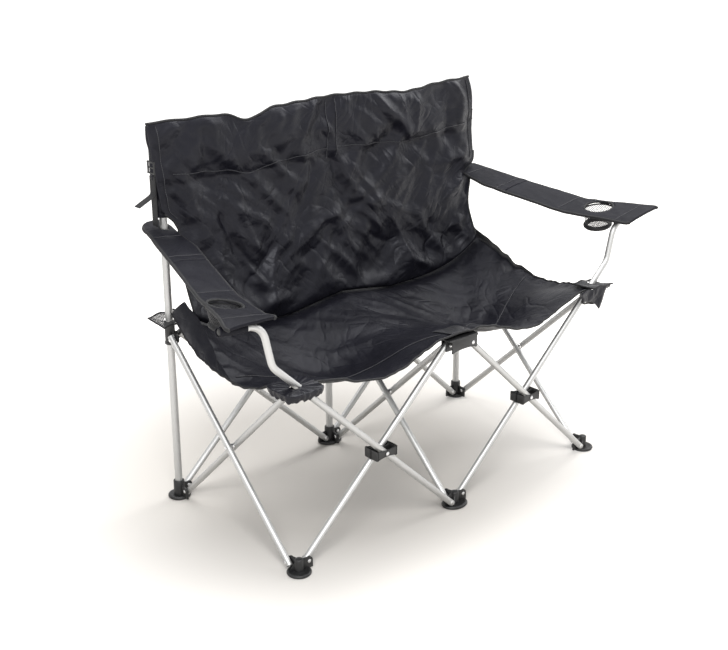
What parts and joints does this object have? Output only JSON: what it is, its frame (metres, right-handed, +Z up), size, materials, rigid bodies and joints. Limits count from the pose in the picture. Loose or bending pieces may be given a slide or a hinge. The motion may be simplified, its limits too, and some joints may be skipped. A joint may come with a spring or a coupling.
{
  "type": "folding camping loveseat",
  "caption": "Folding camping chair for a pair of sitters: scissor tube frame with moulded feet and hubs, sling seat, padded fabric back and armrests with cup nets",
  "frame": {"origin": "the ground under the middle of the chair's bounding box", "axes": "+X to the viewer's right from the front, along the width; +Y from the front to the back; +Z up"},
  "size_m": [1.412, 0.6, 0.97],
  "materials": {
    "tube_aluminium": "satin anodised light grey tube",
    "rivet_steel": "plain pressed rivet",
    "black_plastic": "matt black moulded",
    "black_cloth": "black woven polyester with a slight sheen, padded in the back",
    "black_webbing": "black woven webbing and net"
  },
  "bodies": {
    "post_rear_middle": {"foot_rear_middle": "black_plastic", "rear_pole_middle": "tube_aluminium", "pole_cap_middle": "black_plastic", "back_sleeve_middle": "black_cloth", "back_panel": "black_cloth"},
    "leg_middle_forward": {"side_leg_middle_forward": "tube_aluminium", "side_rivet_middle": "rivet_steel"},
    "leg_middle_rearward": {"side_leg_middle_rearward": "tube_aluminium"},
    "hub_front_middle": {"front_hub": "black_plastic"},
    "foot_front_middle_body": {"foot_front_middle": "black_plastic"},
    "slider_middle_body": {"slider_middle": "black_plastic"},
    "rear_leg_left_outward_body": {"rear_leg_left_outward": "tube_aluminium", "rear_rivet_left": "rivet_steel"},
    "rear_leg_left_inward_body": {"rear_leg_left_inward": "tube_aluminium"},
    "post_rear_left": {"foot_rear_left": "black_plastic", "rear_pole_left": "tube_aluminium", "pole_cap_left": "black_plastic", "back_sleeve_left": "black_cloth", "strap_left": "black_webbing", "buckle_left": "black_plastic"},
    "slider_left_body": {"slider_left": "black_plastic"},
    "leg_left_forward": {"side_leg_left_forward": "tube_aluminium", "side_rivet_left": "rivet_steel"},
    "leg_left_rearward": {"side_leg_left_rearward": "tube_aluminium"},
    "front_leg_left_body": {"front_leg_left": "tube_aluminium"},
    "foot_front_left_body": {"foot_front_left": "black_plastic"},
    "arm_left": {"arm_tube_left": "tube_aluminium", "arm_cap_left": "black_plastic"},
    "hub_front_left": {"corner_hub_left": "black_plastic"},
    "bracket_left": {"cross_bracket_left": "black_plastic", "bracket_rivet_left": "rivet_steel"},
    "rear_leg_right_outward_body": {"rear_leg_right_outward": "tube_aluminium", "rear_rivet_right": "rivet_steel"},
    "rear_leg_right_inward_body": {"rear_leg_right_inward": "tube_aluminium"},
    "post_rear_right": {"foot_rear_right": "black_plastic", "rear_pole_right": "tube_aluminium", "pole_cap_right": "black_plastic", "back_sleeve_right": "black_cloth", "strap_right": "black_webbing", "buckle_right": "black_plastic"},
    "slider_right_body": {"slider_right": "black_plastic"},
    "leg_right_forward": {"side_leg_right_forward": "tube_aluminium", "side_rivet_right": "rivet_steel"},
    "leg_right_rearward": {"side_leg_right_rearward": "tube_aluminium"},
    "front_leg_right_body": {"front_leg_right": "tube_aluminium"},
    "foot_front_right_body": {"foot_front_right": "black_plastic"},
    "arm_right": {"arm_tube_right": "tube_aluminium", "arm_cap_right": "black_plastic"},
    "hub_front_right": {"corner_hub_right": "black_plastic"},
    "bracket_right": {"cross_bracket_right": "black_plastic", "bracket_rivet_right": "rivet_steel"},
    "seat_front_body": {"seat_front": "black_cloth"},
    "seat_rear_body": {"seat_rear": "black_cloth"},
    "armrest_front_left_body": {"armrest_front_left": "black_cloth", "cup_net_left": "black_webbing"},
    "armrest_rear_left_body": {"armrest_rear_left": "black_cloth"},
    "armrest_front_right_body": {"armrest_front_right": "black_cloth", "cup_net_right": "black_webbing"},
    "armrest_rear_right_body": {"armrest_rear_right": "black_cloth"}
  },
  "joints": [
    {"name": "fold", "type": "hinge", "parent": "post_rear_middle", "child": "leg_middle_forward", "pos_m": [0.0109, 0.222, 0.022], "axis": [-1, 0, 0], "range_deg": [0, 42.4], "deforming": ["seat_front", "seat_rear", "back_panel", "armrest_front_left", "armrest_front_right", "armrest_rear_left", "armrest_rear_right", "cup_net_left", "cup_net_right"]},
    {"name": "middle_crossing", "type": "hinge", "parent": "leg_middle_forward", "child": "leg_middle_rearward", "pos_m": [0, 0, 0.231], "axis": [1, 0, 0], "range_deg": [0, 84.8]},
    {"name": "front_hub_pivot", "type": "hinge", "parent": "leg_middle_forward", "child": "hub_front_middle", "pos_m": [0.0109, -0.222, 0.44], "axis": [1, 0, 0], "range_deg": [0, 42.4]},
    {"name": "front_middle_foot_pivot", "type": "hinge", "parent": "leg_middle_rearward", "child": "foot_front_middle_body", "pos_m": [-0.0109, -0.222, 0.022], "axis": [-1, 0, 0], "range_deg": [0, 42.4]},
    {"name": "middle_slider_pivot", "type": "hinge", "parent": "leg_middle_rearward", "child": "slider_middle_body", "pos_m": [-0.0109, 0.222, 0.44], "axis": [-1, 0, 0], "range_deg": [0, 42.4]},
    {"name": "rear_left_outward_pivot", "type": "hinge", "parent": "post_rear_middle", "child": "rear_leg_left_outward_body", "pos_m": [-0.028, 0.2391, 0.022], "axis": [0, 1, 0], "range_deg": [0, 42.4]},
    {"name": "rear_left_crossing", "type": "hinge", "parent": "rear_leg_left_outward_body", "child": "rear_leg_left_inward_body", "pos_m": [-0.25, 0.25, 0.231], "axis": [0, -1, 0], "range_deg": [0, 84.8]},
    {"name": "rear_left_foot_pivot", "type": "hinge", "parent": "rear_leg_left_inward_body", "child": "post_rear_left", "pos_m": [-0.472, 0.2609, 0.022], "axis": [0, 1, 0], "range_deg": [0, 42.4]},
    {"name": "left_slider_pivot", "type": "hinge", "parent": "rear_leg_left_outward_body", "child": "slider_left_body", "pos_m": [-0.472, 0.2391, 0.44], "axis": [0, -1, 0], "range_deg": [0, 42.4]},
    {"name": "left_side_foot_pivot", "type": "hinge", "parent": "post_rear_left", "child": "leg_left_forward", "pos_m": [-0.4891, 0.222, 0.022], "axis": [-1, 0, 0], "range_deg": [0, 42.4]},
    {"name": "left_side_crossing", "type": "hinge", "parent": "leg_left_forward", "child": "leg_left_rearward", "pos_m": [-0.5, 0, 0.231], "axis": [1, 0, 0], "range_deg": [0, 84.8]},
    {"name": "front_left_leg_pivot", "type": "hinge", "parent": "hub_front_middle", "child": "front_leg_left_body", "pos_m": [-0.028, -0.2391, 0.44], "axis": [0, -1, 0], "range_deg": [0, 42.4]},
    {"name": "front_left_foot_pivot", "type": "hinge", "parent": "front_leg_left_body", "child": "foot_front_left_body", "pos_m": [-0.472, -0.2391, 0.022], "axis": [0, 1, 0], "range_deg": [0, 42.4]},
    {"name": "arm_left_foot_pivot", "type": "hinge", "parent": "foot_front_middle_body", "child": "arm_left", "pos_m": [-0.028, -0.2609, 0.022], "axis": [0, 1, 0], "range_deg": [0, 42.4]},
    {"name": "arm_left_hub_pivot", "type": "hinge", "parent": "arm_left", "child": "hub_front_left", "pos_m": [-0.472, -0.2609, 0.44], "axis": [0, -1, 0], "range_deg": [0, 42.4]},
    {"name": "front_left_crossing", "type": "hinge", "parent": "arm_left", "child": "bracket_left", "pos_m": [-0.25, -0.25, 0.231], "axis": [0, -1, 0], "range_deg": [0, 42.4]},
    {"name": "rear_right_outward_pivot", "type": "hinge", "parent": "post_rear_middle", "child": "rear_leg_right_outward_body", "pos_m": [0.028, 0.2609, 0.022], "axis": [0, -1, 0], "range_deg": [0, 42.4]},
    {"name": "rear_right_crossing", "type": "hinge", "parent": "rear_leg_right_outward_body", "child": "rear_leg_right_inward_body", "pos_m": [0.25, 0.25, 0.231], "axis": [0, 1, 0], "range_deg": [0, 84.8]},
    {"name": "rear_right_foot_pivot", "type": "hinge", "parent": "rear_leg_right_inward_body", "child": "post_rear_right", "pos_m": [0.472, 0.2391, 0.022], "axis": [0, -1, 0], "range_deg": [0, 42.4]},
    {"name": "right_slider_pivot", "type": "hinge", "parent": "rear_leg_right_outward_body", "child": "slider_right_body", "pos_m": [0.472, 0.2609, 0.44], "axis": [0, 1, 0], "range_deg": [0, 42.4]},
    {"name": "right_side_foot_pivot", "type": "hinge", "parent": "post_rear_right", "child": "leg_right_forward", "pos_m": [0.5109, 0.222, 0.022], "axis": [-1, 0, 0], "range_deg": [0, 42.4]},
    {"name": "right_side_crossing", "type": "hinge", "parent": "leg_right_forward", "child": "leg_right_rearward", "pos_m": [0.5, 0, 0.231], "axis": [1, 0, 0], "range_deg": [0, 84.8]},
    {"name": "front_right_leg_pivot", "type": "hinge", "parent": "hub_front_middle", "child": "front_leg_right_body", "pos_m": [0.028, -0.2609, 0.44], "axis": [0, 1, 0], "range_deg": [0, 42.4]},
    {"name": "front_right_foot_pivot", "type": "hinge", "parent": "front_leg_right_body", "child": "foot_front_right_body", "pos_m": [0.472, -0.2609, 0.022], "axis": [0, -1, 0], "range_deg": [0, 42.4]},
    {"name": "arm_right_foot_pivot", "type": "hinge", "parent": "foot_front_middle_body", "child": "arm_right", "pos_m": [0.028, -0.2391, 0.022], "axis": [0, -1, 0], "range_deg": [0, 42.4]},
    {"name": "arm_right_hub_pivot", "type": "hinge", "parent": "arm_right", "child": "hub_front_right", "pos_m": [0.472, -0.2391, 0.44], "axis": [0, 1, 0], "range_deg": [0, 42.4]},
    {"name": "front_right_crossing", "type": "hinge", "parent": "arm_right", "child": "bracket_right", "pos_m": [0.25, -0.25, 0.231], "axis": [0, 1, 0], "range_deg": [0, 42.4]},
    {"name": "seat_front_fold", "type": "hinge", "parent": "hub_front_middle", "child": "seat_front_body", "pos_m": [0, -0.232, 0.464], "axis": [-1, 0, 0], "range_deg": [0, 90.79]},
    {"name": "seat_rear_fold", "type": "hinge", "parent": "slider_middle_body", "child": "seat_rear_body", "pos_m": [0, 0.206, 0.458], "axis": [1, 0, 0], "range_deg": [0, 66.2]},
    {"name": "armrest_left_front_fold", "type": "hinge", "parent": "arm_left", "child": "armrest_front_left_body", "pos_m": [-0.66, -0.2609, 0.648], "axis": [-0.7207, 0.3106, -0.6197], "range_deg": [0, 78.6]},
    {"name": "armrest_left_rear_fold", "type": "hinge", "parent": "post_rear_left", "child": "armrest_rear_left_body", "pos_m": [-0.5, 0.25, 0.70743], "axis": [0.9095, -0.2722, 0.3141], "range_deg": [0, 53.61]},
    {"name": "armrest_right_front_fold", "type": "hinge", "parent": "arm_right", "child": "armrest_front_right_body", "pos_m": [0.66, -0.2391, 0.648], "axis": [-0.6643, -0.317, 0.677], "range_deg": [0, 84.61]},
    {"name": "armrest_right_rear_fold", "type": "hinge", "parent": "post_rear_right", "child": "armrest_rear_right_body", "pos_m": [0.5, 0.25, 0.70743], "axis": [0.8255, 0.2789, -0.4906], "range_deg": [0, 46.67]}
  ],
  "couplings": [
    {"joint": "middle_crossing", "follows": "fold", "ratio": 2},
    {"joint": "front_hub_pivot", "follows": "fold", "ratio": 1},
    {"joint": "front_middle_foot_pivot", "follows": "fold", "ratio": 1},
    {"joint": "middle_slider_pivot", "follows": "fold", "ratio": 1},
    {"joint": "rear_left_outward_pivot", "follows": "fold", "ratio": 1},
    {"joint": "rear_left_crossing", "follows": "fold", "ratio": 2},
    {"joint": "rear_left_foot_pivot", "follows": "fold", "ratio": 1},
    {"joint": "left_slider_pivot", "follows": "fold", "ratio": 1},
    {"joint": "left_side_foot_pivot", "follows": "fold", "ratio": 1},
    {"joint": "left_side_crossing", "follows": "fold", "ratio": 2},
    {"joint": "front_left_leg_pivot", "follows": "fold", "ratio": 1},
    {"joint": "front_left_foot_pivot", "follows": "fold", "ratio": 1},
    {"joint": "arm_left_foot_pivot", "follows": "fold", "ratio": 1},
    {"joint": "arm_left_hub_pivot", "follows": "fold", "ratio": 1},
    {"joint": "front_left_crossing", "follows": "fold", "ratio": 1},
    {"joint": "rear_right_outward_pivot", "follows": "fold", "ratio": 1},
    {"joint": "rear_right_crossing", "follows": "fold", "ratio": 2},
    {"joint": "rear_right_foot_pivot", "follows": "fold", "ratio": 1},
    {"joint": "right_slider_pivot", "follows": "fold", "ratio": 1},
    {"joint": "right_side_foot_pivot", "follows": "fold", "ratio": 1},
    {"joint": "right_side_crossing", "follows": "fold", "ratio": 2},
    {"joint": "front_right_leg_pivot", "follows": "fold", "ratio": 1},
    {"joint": "front_right_foot_pivot", "follows": "fold", "ratio": 1},
    {"joint": "arm_right_foot_pivot", "follows": "fold", "ratio": 1},
    {"joint": "arm_right_hub_pivot", "follows": "fold", "ratio": 1},
    {"joint": "front_right_crossing", "follows": "fold", "ratio": 1},
    {"joint": "seat_front_fold", "follows": "fold", "ratio": 2.1411},
    {"joint": "seat_rear_fold", "follows": "fold", "ratio": 1.5611},
    {"joint": "armrest_left_front_fold", "follows": "fold", "ratio": 1.8537},
    {"joint": "armrest_left_rear_fold", "follows": "fold", "ratio": 1.2643},
    {"joint": "armrest_right_front_fold", "follows": "fold", "ratio": 1.9954},
    {"joint": "armrest_right_rear_fold", "follows": "fold", "ratio": 1.1006}
  ]
}
